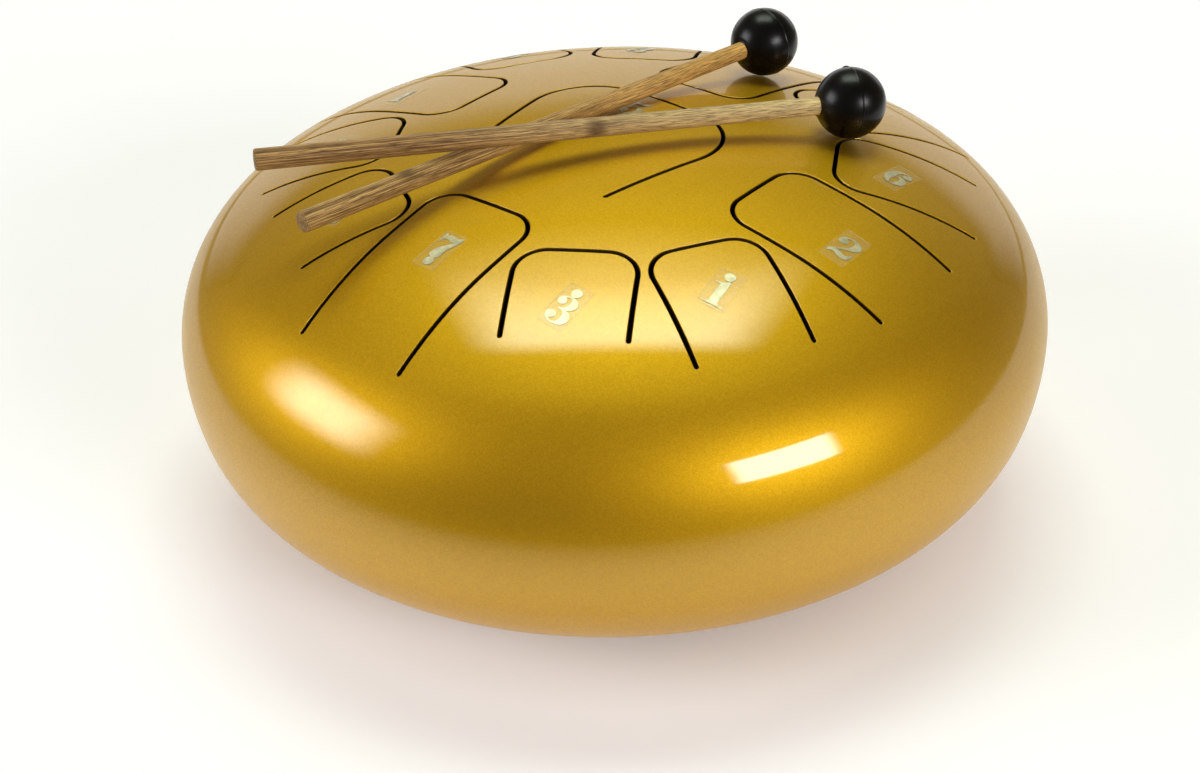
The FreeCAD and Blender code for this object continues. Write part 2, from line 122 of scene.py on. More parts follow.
FOOT_BASE_RADIUS = 0.0095
FOOT_TOP_RADIUS = 0.0110
FOOT_TAPER_HEIGHT = 0.0095
FOOT_ROUNDING = 0.0005
RECESS_RADIUS = 0.0050
RECESS_DEPTH = 0.0045
GRIP_RING = (0.0066, 0.0069, 0.0077, 0.0080)
GRIP_DEPTH = 0.0004
SEAT_GAP = 0.00005
FOOT_SEGMENTS = 72

HEAD_RADIUS = 0.0121
TENON_DEPTH = 0.006
NECK_RADIUS = 0.0031
BUTT_RADIUS = 0.00355
BUTT_CHAMFER = 0.0006
NUB_HEIGHT = 0.00045
# the nub's foot and flank, the seam and the groove at the handle, in degrees round the ball
NUB_ANGLE = 6.6
NUB_SLOPE = 2.6
SEAM_SPREAD = 0.8
LIP_ANGLE = 17.5
LIP_SPREAD = 2.0
SEAM_HEIGHT = 0.0001
LIP_DEPTH = 0.0002

# the butt's chamfer: shares of it in from the side and back from the end
CHAMFER_MARKS = ((0.0, 1.0), (0.4, 0.25), (1.0, 0.0))
BUTT_RINGS = (0.6, 0.3, 0.0)
HANDLE_STEP = 0.0012
HANDLE_SEGMENTS = 56
SEED_STEP = 7.3

# sanding marks on the handles
HOLLOW_DEPTH = 0.00007
HOLLOW_SCALE = 1.6
HOLLOW_STRETCH = 45
FIBRE_DEPTH = 0.00005
FIBRE_SCALE = 9
FIBRE_STRETCH = 160

# a ball's rings about its nub and meridians about its seam, in degrees: where a step starts, and the step
BALL_RINGS = ((0, 1.0), (16, 2.25), (180, None))
BALL_MERIDIANS = ((-90, 1.5), (-84, 3), (-3, 0.5), (3, 3), (84, 1.5), (90, None))

# mesh steps in metres, and counts of steps round a curve
SHEET_STEP = 0.003
SLOT_STEP = 0.0025
CORNER_STEP = 0.0012
QUARTER_STEPS = 4
CAP_STEPS = 8
FILM_STEP = 0.0015
FOIL_STEP = 0.001
RIM_SEGMENTS = 720
SOUND_HOLE_SEGMENTS = 180
SCREW_HOLE_SEGMENTS = 32
GRID_CLEARANCE = 0.45  # share of a step that a sheet's inner points keep from its outlines
SIDE_SHARE = 0.45  # most of a side that a rounded corner takes
TINY = 1e-7


# --- Materials ---------------------------------------------------------------

class Shader:
    """A Principled material and short calls that add nodes to it."""

    def __init__(self, name, **sockets):
        self.material = bpy.data.materials.new(name)
        self.material.use_nodes = True
        self.nodes = self.material.node_tree.nodes
        self.links = self.material.node_tree.links
        self.surface = self.nodes["Principled BSDF"]
        for socket, value in sockets.items():
            self.surface.inputs[socket.replace("_", " ")].default_value = value
        self.place = self.add("ShaderNodeTexCoord").outputs["Object"]

    def add(self, kind, **settings):
        """New node with the given settings."""
        node = self.nodes.new(kind)
        for name, value in settings.items():
            setattr(node, name, value)
        return node

    def feed(self, node, **inputs):
        """Fill a node's inputs, each with a number, a colour or another node's output."""
        for name, value in inputs.items():
            socket = node.inputs[int(name[1:])] if name[1:].isdigit() else node.inputs[name.replace("_", " ")]
            if isinstance(value, bpy.types.NodeSocket):
                self.links.new(value, socket)
            else:
                socket.default_value = value
        return node

    def stretched(self, scale):
        """Object coordinates with a scale of their own along each axis."""
        return self.feed(self.add("ShaderNodeMapping"), Vector=self.place, Scale=scale).outputs["Vector"]

    def noise(self, scale, detail=2.0, rough=0.5, place=None):
        """Smooth noise between 0 and 1; the scale is in cells a metre."""
        node = self.feed(self.add("ShaderNodeTexNoise"), Vector=place or self.place,
                         Scale=scale, Detail=detail, Roughness=rough)
        return node.outputs["Fac"]

    def flakes(self, scale):
        """A random value for each small cell."""
        cells = self.feed(self.add("ShaderNodeTexVoronoi"), Vector=self.place, Scale=scale)
        return self.feed(self.add("ShaderNodeSeparateColor"), Color=cells.outputs["Color"])

    def ramp(self, value, *stops):
        """Colour ramp over a value; each stop is a position and an RGB colour or a grey."""
        node = self.feed(self.add("ShaderNodeValToRGB"), Fac=value)
        for index, (position, colour) in enumerate(stops):
            colour = colour if isinstance(colour, tuple) else (colour,) * 3
            element = node.color_ramp.elements[index] if index < 2 else node.color_ramp.elements.new(position)
            element.position = position
            element.color = (*colour, 1.0)
        return node.outputs["Color"]

    def math(self, operation, first, second):
        """Result of a Math node."""
        node = self.feed(self.add("ShaderNodeMath", operation=operation), _0=first, _1=second)
        return node.outputs["Value"]

    def mix(self, amount, first, second):
        """The first colour at amount 0 to the second at 1."""
        node = self.add("ShaderNodeMix", data_type="RGBA")
        self.feed(node, _0=amount, _6=first, _7=second)
        return node.outputs[2]

    def bump(self, height, strength, distance):
        """Relief in the surface's normal."""
        node = self.feed(self.add("ShaderNodeBump"), Height=height, Strength=strength, Distance=distance)
        self.links.new(node.outputs["Normal"], self.surface.inputs["Normal"])

    def link(self, **outputs):
        """Drive inputs of the surface with other nodes' outputs."""
        for name, output in outputs.items():
            self.links.new(output, self.surface.inputs[name.replace("_", " ")])


def gold_paint():
    """Gold pearl paint: fine flakes of different tone and tilt under a gloss clear coat."""
    paint = Shader("gold_paint", Metallic=0.94, Coat_Weight=0.4, Coat_Roughness=0.06, Coat_IOR=2.05)
    flake = paint.flakes(3200)
    cloud = paint.noise(9.0, 3.0)
    tone = paint.ramp(flake.outputs["Red"], (0.0, (0.54, 0.298, 0.001)), (1.0, (0.69, 0.398, 0.009)))
    tone = paint.mix(0.12, tone, paint.ramp(cloud, (0.3, (0.53, 0.288, 0.001)), (0.7, (0.69, 0.405, 0.009))))
    paint.link(Base_Color=tone)
    rough = paint.ramp(flake.outputs["Green"], (0.0, 0.49), (1.0, 0.57))
    paint.link(Roughness=rough)
    paint.bump(flake.outputs["Blue"], 0.12, 0.00006)
    return paint.material


def cut_steel():
    """Walls of the laser-cut slots: dark, dull metal with faint streaks along them, much darker than the
    paint.
    """
    cut = Shader("cut_steel", Metallic=0.5, Roughness=0.6)
    streak = cut.noise(1.0, 3.0, 0.6, cut.stretched((1800, 1800, 300)))
    cut.link(Base_Color=cut.ramp(streak, (0.3, (0.03, 0.017, 0.002)), (0.7, (0.08, 0.045, 0.004))))
    cut.bump(streak, 0.3, 0.0001)
    return cut.material


def mottled(name, scale, detail, stops, tones, roughness, relief, **sockets):
    """Material whose tone, roughness and relief (strength, distance) all follow one noise."""
    shader = Shader(name, **sockets)
    patch = shader.noise(scale, detail)
    shader.link(Base_Color=shader.ramp(patch, *zip(stops, tones)))
    shader.link(Roughness=shader.ramp(patch, *zip(stops, roughness)))
    shader.bump(patch, *relief)
    return shader.material


def label_film(name, alpha):
    """Clear film: a faint milky tint and its own gloss over the paint."""
    film = Shader(name, Roughness=0.12, Alpha=alpha, IOR=1.49)
    ripple = film.noise(260.0, 2.0)
    film.link(Base_Color=film.ramp(ripple, (0.3, (0.86, 0.82, 0.60)), (0.7, (0.94, 0.90, 0.70))))
    film.bump(ripple, 0.25, 0.00008)
    return film.material


def numeral_foil():
    """Pale champagne foil, slightly orange-peeled by the film beneath."""
    foil = Shader("numeral_foil", Metallic=0.5)
    ripple = foil.noise(420.0, 3.0)
    fine = foil.noise(4200.0, 2.0)
    foil.link(Base_Color=foil.ramp(ripple, (0.35, (0.47, 0.44, 0.28)), (0.65, (0.73, 0.68, 0.47))))
    foil.link(Roughness=foil.ramp(fine, (0.3, 0.3), (0.7, 0.44)))
    foil.bump(ripple, 0.35, 0.0001)
    return foil.material


def handle_wood(name, dark, mid, light, neck, knot):
    """Open-grained hardwood with its grain along the handle, paler towards the head.

    knot is the place of a dark knot in the handle's own axes."""
    wood = Shader(name, Specular_IOR_Level=0.3)
    grain = wood.noise(1.0, 5.0, 0.7, wood.stretched((2500, 2500, 20)))
    figure = wood.noise(1.0, 3.0, 0.5, wood.stretched((380, 380, 8)))
    pores = wood.noise(1.0, 2.0, 0.5, wood.stretched((5200, 5200, 170)))
    height = wood.feed(wood.add("ShaderNodeSeparateXYZ"), Vector=wood.place).outputs["Z"]
    tone = wood.ramp(grain, (0.42, dark), (0.5, mid), (0.58, light))
    broad = wood.ramp(figure, (0.34, dark), (0.66, light))
    tone = wood.mix(0.3, tone, broad)
    fade = wood.ramp(wood.math("MULTIPLY", height, 5.0), (0.05, 1.0), (0.7, 0.0))
    tone = wood.mix(fade, tone, wood.mix(0.62, tone, (*neck, 1.0)))
    offset = wood.feed(wood.add("ShaderNodeVectorMath", operation="DISTANCE"), _0=wood.place, _1=knot)
    shade = wood.ramp(wood.math("MULTIPLY", offset.outputs["Value"], 100.0), (0.15, 0.75), (0.5, 0.0))
    tone = wood.mix(shade, tone, (*dark, 1.0))
    pit = wood.ramp(pores, (0.42, 0.0), (0.49, 1.0))
    tone = wood.mix(pit, wood.mix(0.6, tone, (0.04, 0.018, 0.006, 1.0)), tone)
    wood.link(Base_Color=tone)
    wood.link(Roughness=wood.ramp(grain, (0.3, 0.62), (0.7, 0.45)))
    wood.bump(wood.mix(0.5, grain, pit), 0.6, 0.0002)
    return wood.material


def ball_rubber():
    """Satin black rubber, faintly blue, with moulding marks and dust-fine grain."""
    rubber = Shader("ball_rubber", Specular_IOR_Level=0.24)
    patch = rubber.noise(160.0, 4.0)
    grain = rubber.noise(5200.0, 2.0)
    rubber.link(Base_Color=rubber.ramp(patch, (0.3, (0.0006, 0.0007, 0.002)),
                                       (0.75, (0.002, 0.0022, 0.0045))))
    rubber.link(Roughness=rubber.ramp(patch, (0.3, 0.25), (0.75, 0.32)))
    rubber.bump(grain, 0.15, 0.00006)
    return rubber.material


GOLD = gold_paint()
# inner faces of the sheets: near-black, a painted shade that stands in for the dark, unlit inside of the drum
INSIDE_PAINTED_SHADE = mottled("inner_painted_shade", scale=900.0, detail=3.0, stops=(0.3, 0.8), roughness=(0.6, 0.8),
                 tones=((0.018, 0.014, 0.008), (0.035, 0.027, 0.014)), relief=(0.3, 0.0001), Metallic=0.2)
SHEET = (GOLD, cut_steel(), INSIDE_PAINTED_SHADE)
FILM = label_film("label_film", 0.045)
FILM_EDGE = label_film("label_film_edge", 0.4)
FOIL = numeral_foil()
RUBBER = ball_rubber()
FOOT_RUBBER = mottled("foot_rubber", scale=2600.0, detail=3.0, stops=(0.3, 0.7), roughness=(0.62, 0.78),
                      tones=((0.010, 0.010, 0.010), (0.024, 0.023, 0.022)), relief=(0.3, 0.0001),
                      Specular_IOR_Level=0.35)
ZINC = mottled("zinc_plate", scale=1400.0, detail=4.0, stops=(0.3, 0.7), roughness=(0.24, 0.4),
               tones=((0.46, 0.46, 0.47), (0.66, 0.66, 0.68)), relief=(0.2, 0.00005), Metallic=1.0)
WOODS = {
    "lower_mallet": handle_wood("lower_handle_wood", (0.12, 0.052, 0.015), (0.43, 0.24, 0.076),
                                (0.80, 0.51, 0.19), (0.86, 0.48, 0.13), (-0.0034, 0.0, 0.16)),
    "upper_mallet": handle_wood("upper_handle_wood", (0.10, 0.041, 0.013), (0.36, 0.18, 0.058),
                                (0.74, 0.46, 0.18), (1.0, 0.80, 0.42), (-0.0008, 0.0033, 0.089)),
}


# --- Meshes ------------------------------------------------------------------

def mesh_piece(name, points, faces, materials, normals=None, shades=None):
    """Smooth-shaded mesh object; normals are one to a vertex, shades a material number to a face."""
    mesh = bpy.data.meshes.new(name)
    mesh.from_pydata(np.asarray(points).tolist(), [], faces)
    for material in materials:
        mesh.materials.append(material)
    mesh.polygons.foreach_set("use_smooth", [True] * len(faces))
    if shades is not None:
        mesh.polygons.foreach_set("material_index", shades)
    if normals is not None:
        mesh.normals_split_custom_set_from_vertices(np.asarray(normals).tolist())
    mesh.update()
    piece = bpy.data.objects.new(name, mesh)
    bpy.context.scene.collection.objects.link(piece)
    return piece


def facing_out(faces, points, normals):
    """The faces, each wound so that it faces the way its vertices' normals point."""
    faces = np.array(faces)
    spots = points[faces]
    outward = np.cross(spots[:, 2] - spots[:, 0], spots[:, -1] - spots[:, 1])
    inside_out = (outward * normals[faces].sum(1)).sum(1) < 0
    faces[inside_out] = faces[inside_out, ::-1]
    return faces.tolist()


class Bowl:
    """Outer face of a pressed bowl: three tangent arcs from its pole to the equator."""

    def __init__(self, arcs, upright):
        self.upright = upright
        self.starts = np.radians([0.0] + [end for _, end in arcs[:-1]])
        ends = np.radians([end for _, end in arcs])
        spans = np.sin(ends) - np.sin(self.starts)
        self.radii = np.array([radius or 0.0 for radius, _ in arcs])
        free = [radius for radius, _ in arcs].index(None)
        self.radii[free] = (DRUM_RADIUS - self.radii @ spans) / spans[free]
        drops = self.radii * (np.cos(self.starts) - np.cos(ends))
        reaches = self.radii * (ends - self.starts)
        self.out = np.concatenate([[0.0], np.cumsum(self.radii * spans)])
        self.reach = np.concatenate([[0.0], np.cumsum(reaches)])
        self.rise = drops.sum() - np.concatenate([[0.0], np.cumsum(drops)])

    def unroll(self, plan):
        """Places on the unrolled face, where a distance from the pole is an arc length."""
        distance = np.linalg.norm(plan, axis=1)
        arc = np.clip(np.searchsorted(self.out, distance, side="right") - 1, 0, 2)
        sine = np.sin(self.starts[arc]) + (distance - self.out[arc]) / self.radii[arc]
        angle = np.arcsin(np.clip(sine, 0, 1))
        reach = self.reach[arc] + self.radii[arc] * (angle - self.starts[arc])
        return plan * (reach / np.maximum(distance, TINY))[:, None]

    def place(self, flat, depth):
        """Points a depth under the face and its normals there, from unrolled places."""
        reach = np.linalg.norm(flat, axis=1)
        arc = np.clip(np.searchsorted(self.reach, reach, side="right") - 1, 0, 2)
        angle = self.starts[arc] + (reach - self.reach[arc]) / self.radii[arc]
        out = self.out[arc] + self.radii[arc] * (np.sin(angle) - np.sin(self.starts[arc]))
        rise = self.rise[arc] - self.radii[arc] * (np.cos(self.starts[arc]) - np.cos(angle))
        toward = flat / np.maximum(reach, TINY)[:, None]
        normals = np.column_stack([toward * np.sin(angle)[:, None], self.upright * np.cos(angle)])
        points = np.column_stack([toward * out[:, None], EQUATOR + self.upright * rise])
        return points - depth * normals, normals

    def height(self, distance):
        """Height over the ground of the face at a distance from the axis."""
        points, _ = self.place(self.unroll(np.array([[distance, 0.0]])), 0.0)
        return points[0, 2]


UPPER = Bowl(UPPER_ARCS, 1)
LOWER = Bowl(LOWER_ARCS, -1)


class Edge:
    """A cut edge in plan: points on the cut's middle line and the ways from there into the sheet."""

    def __init__(self, middle, into, clear=0.0, break_radius=EDGE_BREAK, closed=False):
        self.middle = middle
        self.into = into
        self.clear = clear
        self.break_radius = break_radius
        self.closed = closed

    def row(self, bowl, offset):
        """Unrolled line at an offset from the cut's wall into the sheet."""
        return bowl.unroll(self.middle + self.into * (self.clear + offset))

    def brink(self, bowl):
        """Unrolled line where the flat face ends and the rounded edge starts."""
        return self.row(bowl, self.break_radius)


def turns_left(outline):
    """Whether a closed outline runs anticlockwise."""
    following = np.roll(outline, -1, 0)
    return (outline[:, 0] * following[:, 1] - outline[:, 1] * following[:, 0]).sum() > 0


def triangulate(outlines, step):
    """Fill the first outline with triangles that keep to all the outlines' lines.

    Gives the points, the triangles, the set of outlines round each one, and each outline's points."""
    border = np.concatenate(outlines)
    tree = KDTree(len(border))
    for index, (across, along) in enumerate(border):
        tree.insert((across, along, 0), index)
    tree.balance()
    low = outlines[0].min(0)
    high = outlines[0].max(0)
    pitch = step * math.sqrt(3) / 2
    grid = []
    for row, along in enumerate(np.arange(low[1], high[1], pitch)):
        for across in np.arange(low[0] + (row % 2) * step / 2, high[0], step):
            if tree.find((across, along, 0))[2] > step * GRID_CLEARANCE:
                grid.append((across, along))
    points = [Vector(point) for point in border.tolist() + grid]
    ends = np.cumsum([len(outline) for outline in outlines])
    loops = [list(range(end - len(outline), end)) for outline, end in zip(outlines, ends)]
    wound = [loop if turns_left(outline) else loop[::-1] for outline, loop in zip(outlines, loops)]
    made, _, faces, sources, _, owners = delaunay_2d_cdt(points, [], wound, 0, TINY)
    index = np.zeros(len(points), int)
    for new, olds in enumerate(sources):
        for old in olds:
            index[old] = new
    kept = [number for number, owner in enumerate(owners) if 0 in owner]
    triangles = np.array([faces[number] for number in kept])
    rounds = [frozenset(owners[number]) for number in kept]
    return np.array(made), triangles, rounds, [index[loop] for loop in loops]


def sheet_piece(name, bowl, points, triangles, edges, materials, lift=0.0, gauge=SHEET_GAUGE):
    """Piece of sheet on a bowl: two faces of the same triangles, joined by rounded cut edges.

    Each edge comes with the numbers of its points; the materials are the face's, the cuts' and the back's."""
    used = np.unique(triangles)
    lookup = np.zeros(len(points), int)
    lookup[used] = np.arange(len(used))
    top, up = bowl.place(points[used], -lift)
    bottom, _ = bowl.place(points[used], gauge - lift)
    spots = [top, bottom]
    normals = [up, -up]
    flats = np.concatenate([lookup[triangles], lookup[triangles] + len(used)])
    shades = [0] * len(triangles) + [2] * len(triangles)
    quads = []
    count = 2 * len(used)
    for edge, numbers in edges:
        brink = lookup[numbers]
        rows = [brink]
        steps = [(edge.break_radius * (1 - math.sin(math.radians(angle))),
                  edge.break_radius * (1 - math.cos(math.radians(angle))),
                  math.radians(angle)) for angle in EDGE_ANGLES]
        steps.append((0.0, gauge - edge.break_radius, math.radians(90)))
        for offset, depth, angle in steps:
            spot, surface = bowl.place(edge.row(bowl, offset), depth - lift)
            side = np.column_stack([-edge.into, np.zeros(len(edge.into))])
            side -= surface * (surface * side).sum(1)[:, None]
            side /= np.linalg.norm(side, axis=1)[:, None]
            spots.append(spot)
            normals.append(surface * math.cos(angle) + side * math.sin(angle))
            rows.append(np.arange(count, count + len(spot)))
            count += len(spot)
        rows.append(brink + len(used))
        for number, (upper, under) in enumerate(zip(rows, rows[1:])):
            strip = np.column_stack([np.roll(upper, 1), upper, under, np.roll(under, 1)])
            strip = strip if edge.closed else strip[1:]
            quads += list(strip)
            shades += [0 if number < len(EDGE_ANGLES) else 1] * len(strip)
    spots = np.concatenate(spots)
    normals = np.concatenate(normals)
    faces = facing_out(flats, spots, normals)
    if quads:
        faces += facing_out(quads, spots, normals)
    return mesh_piece(name, spots, faces, materials, normals, shades)


def circle(centre, radius, segments):
    """Points round a circle and the outward directions there."""
    angles = np.arange(segments) * 2 * math.pi / segments
    ways = np.column_stack([np.cos(angles), np.sin(angles)])
    return np.array(centre) + ways * radius, ways


def equator_outline(bowl):
    """Unrolled rim of a bowl."""
    rim, _ = circle((0, 0), bowl.reach[-1], RIM_SEGMENTS)
    return rim


# --- Upper shell and tongues -------------------------------------------------

def steps_between(first, last, step):
    """Evenly spaced shares of the way from one point to another, without the last."""
    count = max(1, math.ceil(math.dist(first, last) / step))
    return np.arange(count) / count


class Tongue:
    """A tongue's outline in plan, measured on its CAD node."""

    def __init__(self, key):
        self.key = key
        self.body = "note_" + key
        joint = JOINTS["flex_" + key]
        self.pivot = np.array(joint["pos_m"])
        self.root = self.pivot[:2]
        self.inward = -self.root / np.linalg.norm(self.root)
        self.across = np.array([-self.inward[1], self.inward[0]])
        self.flare = CENTRE_FLARE if key == CENTRE else 0.0
        self.corner = CENTRE_CORNER if key == CENTRE else RING_CORNER
        local = node_points("tongue_" + key)[:, :2] - self.root
        along = local @ self.inward
        aside = np.abs(local @ self.across)
        at_root = along < along.min() + EDGE_BREAK
        self.length = along.max() + SLOT_WIDTH / 2
        self.half_root = aside[at_root].max() + SLOT_WIDTH / 2 / math.cos(self.flare)

    def plan(self, local):
        """Places in plan from places in the tongue's own axes."""
        local = np.asarray(local)
        return self.root + np.outer(local[:, 0], self.inward) + np.outer(local[:, 1], self.across)

    def turn(self, ways):
        """Directions in plan from directions in the tongue's own axes."""
        return np.outer(ways[:, 0], self.inward) + np.outer(ways[:, 1], self.across)

    def middle_line(self):
        """Slot's middle line from root to root, and the ways out of the tongue, in its own axes."""
        slope = math.tan(self.flare)
        centre = np.array([self.length - self.corner, 0.0])
        centre[1] = self.half_root + centre[0] * slope - self.corner / math.cos(self.flare)
        side_way = np.array([-math.sin(self.flare), math.cos(self.flare)])
        start = np.array([0.0, self.half_root])
        touch = centre + self.corner * side_way
        points = [start + (touch - start) * share for share in steps_between(start, touch, SLOT_STEP)]
        ways = [side_way] * len(points)
        sweep = math.pi / 2 + self.flare
        count = math.ceil(sweep * self.corner / CORNER_STEP)
        for angle in sweep * (1 - np.arange(count) / count):
            way = np.array([math.cos(angle), math.sin(angle)])
            points.append(centre + self.corner * way)
            ways.append(way)
        tip = np.array([self.length, centre[1]])
        middle = np.array([self.length, 0.0])
        shares = steps_between(tip, middle, SLOT_STEP)
        points += [tip + (middle - tip) * share for share in shares] + [middle]
        ways += [np.array([1.0, 0.0])] * (len(shares) + 1)
        mirror = np.array([1.0, -1.0])
        points += [point * mirror for point in reversed(points[:-1])]
        ways += [way * mirror for way in reversed(ways[:-1])]
        return np.array(points), np.array(ways)

    def edges(self):
        """The cut edges of the shell and of the tongue, along the same slot."""
        points, ways = self.middle_line()
        turn = math.pi / 2 + self.flare + math.pi * np.arange(CAP_STEPS + 1) / CAP_STEPS
        cap_ways = np.column_stack([np.cos(turn), np.sin(turn)])
        mirror = np.array([1.0, -1.0])
        first_cap = cap_ways[:0:-1]
        last_cap = cap_ways[1:] * mirror
        shell_points = np.concatenate([np.repeat(points[:1], len(first_cap), 0), points,
                                       np.repeat(points[-1:], len(last_cap), 0)])
        shell_ways = np.concatenate([first_cap, ways, last_cap])
        shell = Edge(self.plan(shell_points), self.turn(shell_ways), SLOT_WIDTH / 2)
        tongue = Edge(self.plan(points), self.turn(-ways), SLOT_WIDTH / 2)
        return shell, tongue

    def root_line(self, edge):
        """Unrolled points along the root, from the end of the tongue's edge back to its start."""
        reach = edge.clear + edge.break_radius
        start, end = edge.middle[[0, -1]] + edge.into[[0, -1]] * reach
        shares = steps_between(end, start, SLOT_STEP)[1:]
        return UPPER.unroll(end + np.outer(shares, start - end))


def build_upper():
    """Cut the upper bowl into the shell and its thirteen tongues."""
    tongues = [Tongue(key) for key in KEYS]
    outlines = [equator_outline(UPPER)]
    edges = []
    for tongue in tongues:
        shell_edge, tongue_edge = tongue.edges()
        shell_brink = shell_edge.brink(UPPER)
        tongue_brink = tongue_edge.brink(UPPER)
        outlines.append(np.concatenate([tongue_brink, tongue.root_line(tongue_edge)]))
        outlines.append(np.concatenate([shell_brink, tongue_brink[-2:0:-1]]))
        edges.append((shell_edge, tongue_edge))
    points, triangles, rounds, loops = triangulate(outlines, SHEET_STEP)
    shell_edges = []
    for number, (tongue, (shell_edge, tongue_edge)) in enumerate(zip(tongues, edges)):
        tongue_loop = loops[1 + 2 * number]
        slot_loop = loops[2 + 2 * number]
        shell_edges.append((shell_edge, slot_loop[:len(shell_edge.middle)]))
        own = np.array([1 + 2 * number in owner for owner in rounds])
        name = "tongue_" + tongue.key
        piece = sheet_piece(name + "_plate", UPPER, points, triangles[own],
                            [(tongue_edge, tongue_loop[:len(tongue_edge.middle)])], SHEET)
        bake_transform(piece)
        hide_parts(name)
    own = np.array([owner == {0} for owner in rounds])
    shell = sheet_piece("upper_bowl", UPPER, points, triangles[own], shell_edges, SHEET)
    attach(shell, "drum")
    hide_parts("upper_shell", "seam_weld")


def build_lower():
    """The lower bowl with its sound hole and the holes for the feet's screws."""
    holes = [((0.0, 0.0), SOUND_HOLE_RADIUS, SOUND_HOLE_SEGMENTS)]
    for foot in FEET:
        low, high = corners(foot)
        holes.append((tuple((low + high)[:2] / 2), SCREW_HOLE_RADIUS, SCREW_HOLE_SEGMENTS))
    edges = []
    for centre, radius, segments in holes:
        middle, into = circle(centre, radius, segments)
        edges.append(Edge(middle, into, closed=True))
    outlines = [equator_outline(LOWER)] + [edge.brink(LOWER) for edge in edges]
    points, triangles, rounds, loops = triangulate(outlines, SHEET_STEP)
    own = np.array([owner == {0} for owner in rounds])
    bowl = sheet_piece("lower_bowl", LOWER, points, triangles[own],
                       list(zip(edges, loops[1:])), SHEET)
    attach(bowl, "drum")
    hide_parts("lower_shell")


# --- Numeral stickers --------------------------------------------------------

# Numerals of a fat-faced serif type, in thousandths of their height: closed outlines of points,
# smooth except where "c" marks a corner.
NUMERAL_UNITS = 1000
NUMERAL_WIDTH = 670
NUMERALS = {
    "1": [[(50, 0, "c"), (630, 0, "c"), (630, 35, "c"), (500, 55), (450, 130, "c"), (450, 1000, "c"),
           (390, 1000, "c"), (290, 900), (80, 855, "c"), (80, 820, "c"), (230, 820, "c"), (230, 130, "c"),
           (180, 55), (50, 35, "c")]],
    "2": [[(30, 710), (100, 910), (330, 1000), (570, 930), (660, 740), (560, 540), (360, 400),
           (200, 250, "c"), (340, 235), (470, 190), (560, 230), (610, 360, "c"), (650, 360, "c"),
           (620, 110), (500, 0), (340, 30), (180, 90), (70, 0, "c"), (30, 0, "c"), (60, 160), (220, 350),
           (380, 540), (430, 750), (370, 920), (250, 945), (160, 875, "c"), (270, 810), (290, 700),
           (200, 600), (80, 610)]],
    "3": [[(40, 780), (120, 940), (320, 1000), (540, 930), (610, 760), (540, 600), (400, 525, "c"),
           (580, 450), (660, 270), (560, 70), (320, 0), (100, 70), (20, 240), (90, 370), (220, 370),
           (290, 260), (240, 150), (160, 100, "c"), (290, 45), (400, 110), (430, 270), (380, 440),
           (200, 500, "c"), (200, 540, "c"), (350, 600), (390, 760), (370, 910), (280, 955),
           (180, 910, "c"), (260, 850), (280, 740), (200, 660), (100, 670)]],
    "4": [[(20, 300, "c"), (400, 1000, "c"), (530, 1000, "c"), (530, 330, "c"), (660, 330, "c"),
           (660, 280, "c"), (530, 280, "c"), (530, 130, "c"), (570, 55), (660, 35, "c"), (660, 0, "c"),
           (180, 0, "c"), (180, 35, "c"), (280, 55), (320, 130, "c"), (320, 280, "c"), (20, 280, "c")],
          [(80, 330, "c"), (320, 330, "c"), (320, 770, "c")]],
    "5": [[(80, 480, "c"), (100, 1000, "c"), (240, 965), (420, 965), (580, 1000, "c"), (550, 870),
           (400, 800), (150, 830, "c"), (130, 580, "c"), (280, 640), (520, 600), (650, 330), (540, 70),
           (300, 0), (100, 60), (20, 220), (90, 350), (220, 350), (280, 240), (230, 140), (150, 100, "c"),
           (280, 40), (400, 110), (440, 330), (380, 530), (250, 590), (110, 480, "c")]],
    "6": [[(570, 710), (610, 820), (550, 950), (370, 1000), (120, 860), (20, 500), (110, 120), (340, 0),
           (580, 90), (660, 320), (570, 540), (380, 610), (250, 550, "c"), (260, 800), (380, 955),
           (470, 925, "c"), (370, 850), (360, 740), (450, 670)],
          [(250, 300), (280, 110), (350, 40), (410, 100), (440, 310), (410, 500), (340, 560), (270, 490)]],
    "7": [[(40, 620, "c"), (60, 1000, "c"), (100, 1000, "c"), (140, 940), (240, 975), (380, 960),
           (520, 930), (600, 1000, "c"), (650, 1000, "c"), (650, 840), (560, 580), (490, 340), (500, 140),
           (440, 10), (250, 0), (160, 100), (180, 300), (320, 520), (520, 760, "c"), (400, 730),
           (260, 790), (130, 760), (80, 620, "c")]],
}
CURVE_STEPS = 6


def drawn(marks):
    """Polygon of a numeral's outline: cubic curves with their tangents taken from the neighbours."""
    spots = np.array([mark[:2] for mark in marks]) / NUMERAL_UNITS
    tangents = np.roll(spots, -1, 0) - np.roll(spots, 1, 0)
    tangents /= np.linalg.norm(tangents, axis=1)[:, None]
    line = []
    for index, mark in enumerate(marks):
        after = (index + 1) % len(marks)
        start, end = spots[index], spots[after]
        chord = end - start
        third = np.linalg.norm(chord) / 3
        leave = chord / 3 if len(mark) > 2 else tangents[index] * third
        arrive = chord / 3 if len(marks[after]) > 2 else tangents[after] * third
        straight = len(mark) > 2 and len(marks[after]) > 2
        for share in [0.0] if straight else np.arange(CURVE_STEPS) / CURVE_STEPS:
            rest = 1 - share
            line.append(rest ** 3 * start + 3 * rest ** 2 * share * (start + leave)
                        + 3 * rest * share ** 2 * (end - arrive) + share ** 3 * end)
    return np.array(line)


def rounded_rectangle(width, length, radius):
    """Outline of a sticker about its centre and the ways into it."""
    points = []
    ways = []
    for quarter, (side, end) in enumerate(((1, 1), (-1, 1), (-1, -1), (1, -1))):
        middle = np.array([side * (width / 2 - radius), end * (length / 2 - radius)])
        for angle in (quarter + np.arange(QUARTER_STEPS + 1) / QUARTER_STEPS) * math.pi / 2:
            way = np.array([math.cos(angle), math.sin(angle)])
            points.append(middle + way * radius)
            ways.append(-way)
    return np.array(points), np.array(ways)


